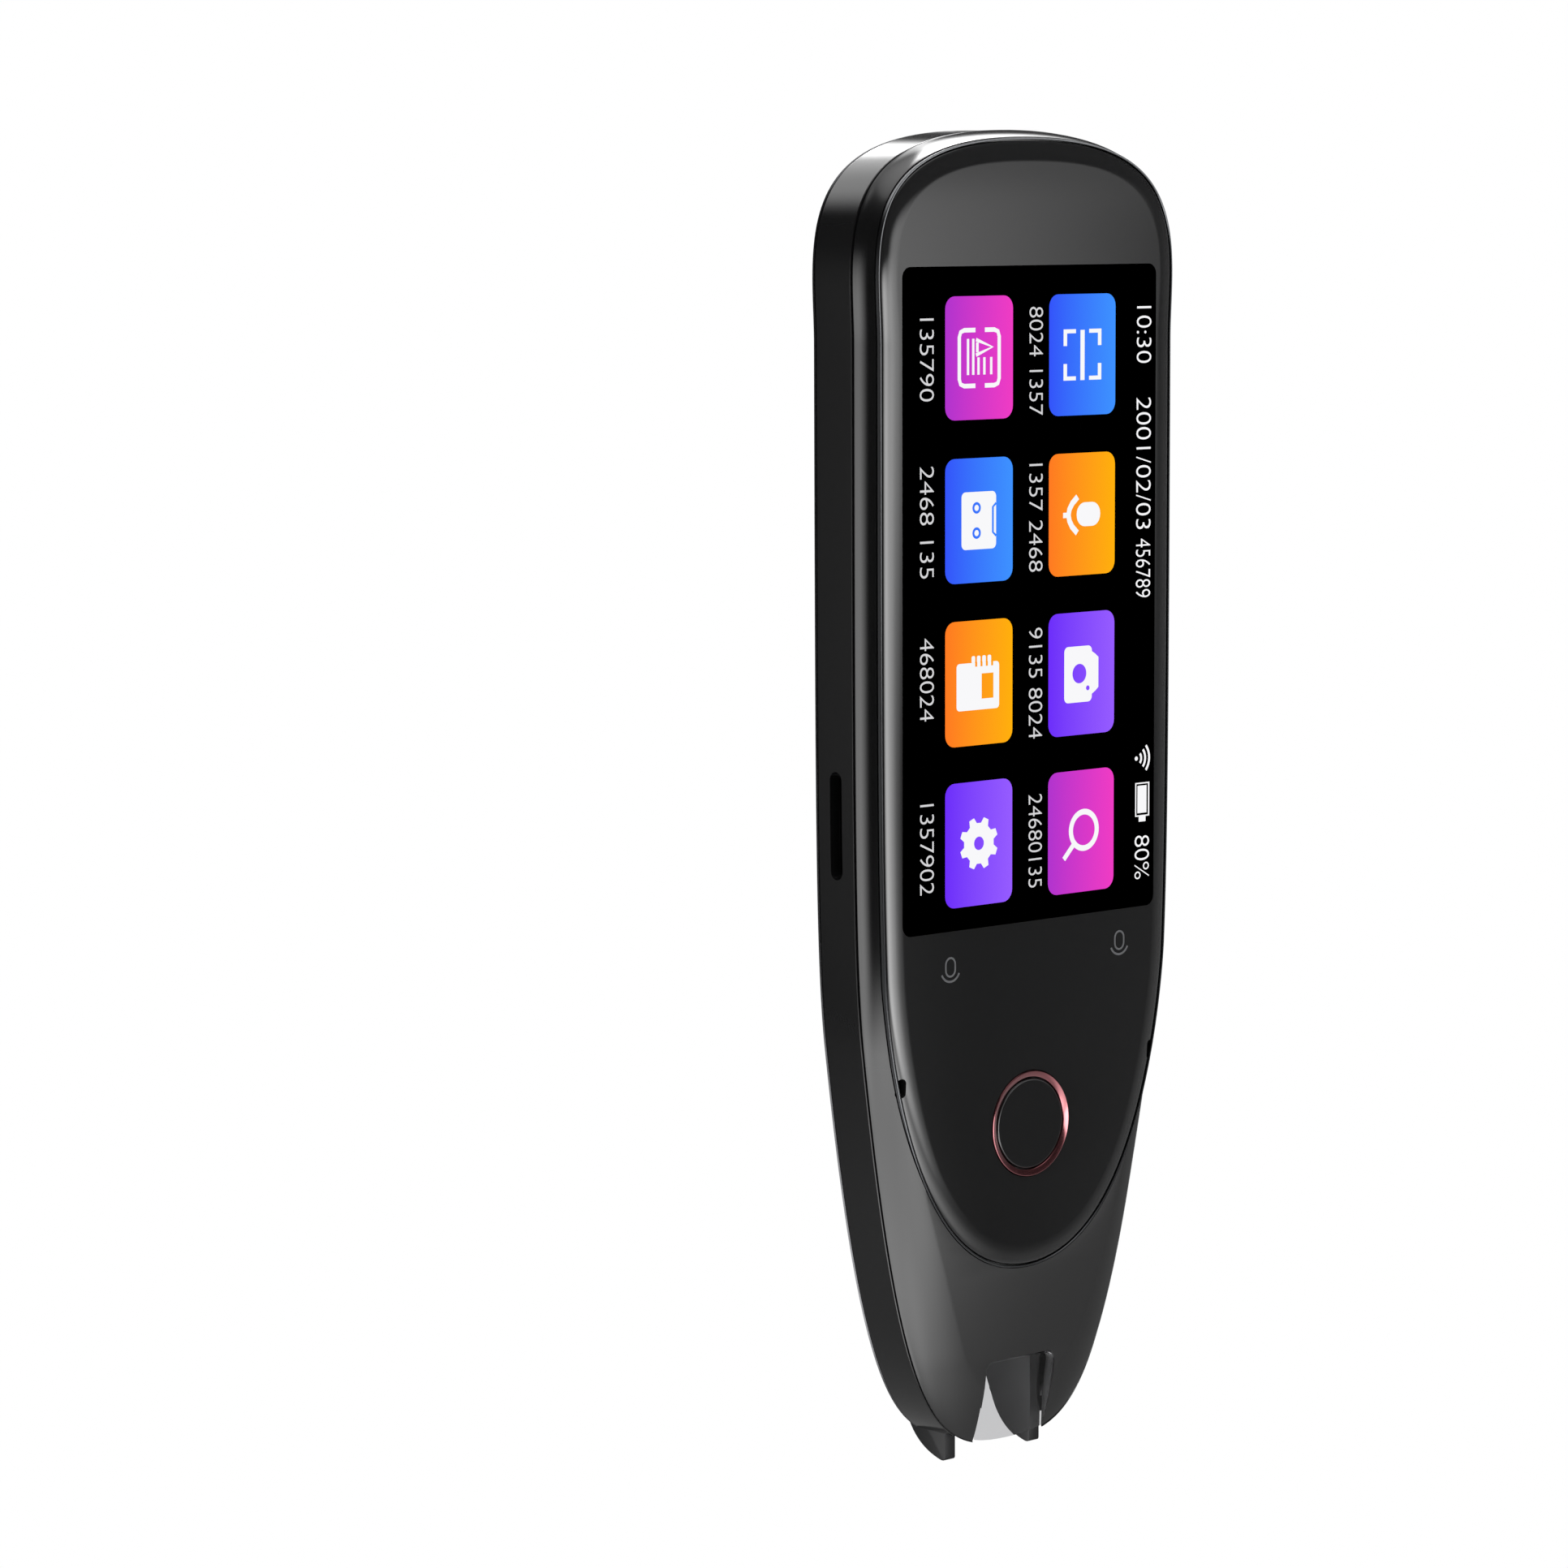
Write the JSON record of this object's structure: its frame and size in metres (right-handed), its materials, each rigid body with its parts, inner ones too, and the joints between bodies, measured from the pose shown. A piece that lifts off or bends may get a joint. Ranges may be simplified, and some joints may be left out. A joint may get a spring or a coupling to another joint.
{
  "type": "translation scanner pen",
  "caption": "Slim scanner pen with a sideways touch display, a home button in a ring, side keys, a memory card slot, a rear camera and a sprung forked scanning tip.",
  "frame": {"origin": "middle of the pen's width and thickness, on the plane the tip stands on", "axes": "+X across the pen to the side with the keys, +Y from the display to the back cover, +Z from the scanning tip to the top end"},
  "size_m": [0.0479, 0.015, 0.15],
  "materials": {
    "case_gunmetal": "satin grey paint",
    "frame_grey": "satin metallic grey",
    "trim_dark": "dark satin",
    "gloss_black": "polished black glass and plastic",
    "display_black": "lit colour display",
    "red_metal": "red anodised",
    "key_red": "grey top with red sides",
    "dark_plastic": "moulded, matt",
    "plunger_plastic": "moulded, matt",
    "tip_black": "satin black",
    "window_clear": "clear smoke plastic",
    "lens_glass": "coated lens",
    "board_green": "solder mask",
    "bright_steel": "bare steel",
    "battery_foil": "foil pouch",
    "antenna_flex": "film on copper",
    "lamp_white": "lamp"
  },
  "bodies": {
    "pen_body": {"back_cover": "case_gunmetal", "battery": "battery_foil", "camera_glass": "gloss_black", "camera_lens": "lens_glass", "camera_module": "dark_plastic", "camera_ring": "red_metal", "card_socket": "bright_steel", "charge_port": "bright_steel", "chassis": "dark_plastic", "chassis_screw_1": "bright_steel", "chassis_screw_2": "bright_steel", "chassis_screw_3": "bright_steel", "chassis_screw_4": "bright_steel", "cover_glass": "gloss_black", "display_panel": "display_black", "front_shell": "case_gunmetal", "glass_trim": "trim_dark", "home_ring": "red_metal", "home_switch": "dark_plastic", "key_board": "board_green", "main_board": "board_green", "microphone_left": "bright_steel", "microphone_right": "bright_steel", "port_tongue": "dark_plastic", "power_switch": "bright_steel", "scan_camera": "dark_plastic", "scan_led_left": "lamp_white", "scan_led_right": "lamp_white", "scan_lens": "lens_glass", "scan_light_board": "board_green", "scan_sensor_board": "board_green", "scan_window": "window_clear", "shield_can_lower": "bright_steel", "shield_can_upper": "bright_steel", "side_frame": "frame_grey", "speaker": "bright_steel", "speaker_chamber": "dark_plastic", "speaker_screen": "trim_dark", "tip_guide": "dark_plastic", "tip_spring_left": "bright_steel", "tip_spring_right": "bright_steel", "tip_switch": "dark_plastic", "volume_down_switch": "bright_steel", "volume_up_switch": "bright_steel", "wifi_antenna": "antenna_flex"},
    "volume_key": {"volume_rocker": "key_red", "volume_up_plunger": "plunger_plastic", "volume_down_plunger": "plunger_plastic"},
    "power_key": {"power_button": "key_red", "power_plunger": "plunger_plastic"},
    "home_key": {"home_button": "gloss_black", "home_plunger": "plunger_plastic"},
    "tip": {"tip_fork": "tip_black", "tip_plunger": "plunger_plastic"}
  },
  "joints": [
    {"name": "volume_rock", "type": "hinge", "parent": "pen_body", "child": "volume_key", "pos_m": [0.021, -0.00035, 0.1172], "axis": [0, 1, 0], "range_deg": [-2.2, 2.2], "stiffness_Nm_per_rad": 0.05},
    {"name": "power_press", "type": "slide", "parent": "pen_body", "child": "power_key", "axis": [-1, 0, 0], "range_m": [0, 0.00035], "stiffness_N_per_m": 1500, "springref_m": -0.0003},
    {"name": "home_press", "type": "slide", "parent": "pen_body", "child": "home_key", "axis": [0, 1, 0], "range_m": [0, 0.0003], "stiffness_N_per_m": 1500, "springref_m": -0.0003},
    {"name": "tip_press", "type": "slide", "parent": "pen_body", "child": "tip", "axis": [0, 0, 1], "range_m": [0, 0.0008], "stiffness_N_per_m": 2000, "springref_m": -0.001, "deforming": ["tip_spring_left", "tip_spring_right"]}
  ]
}
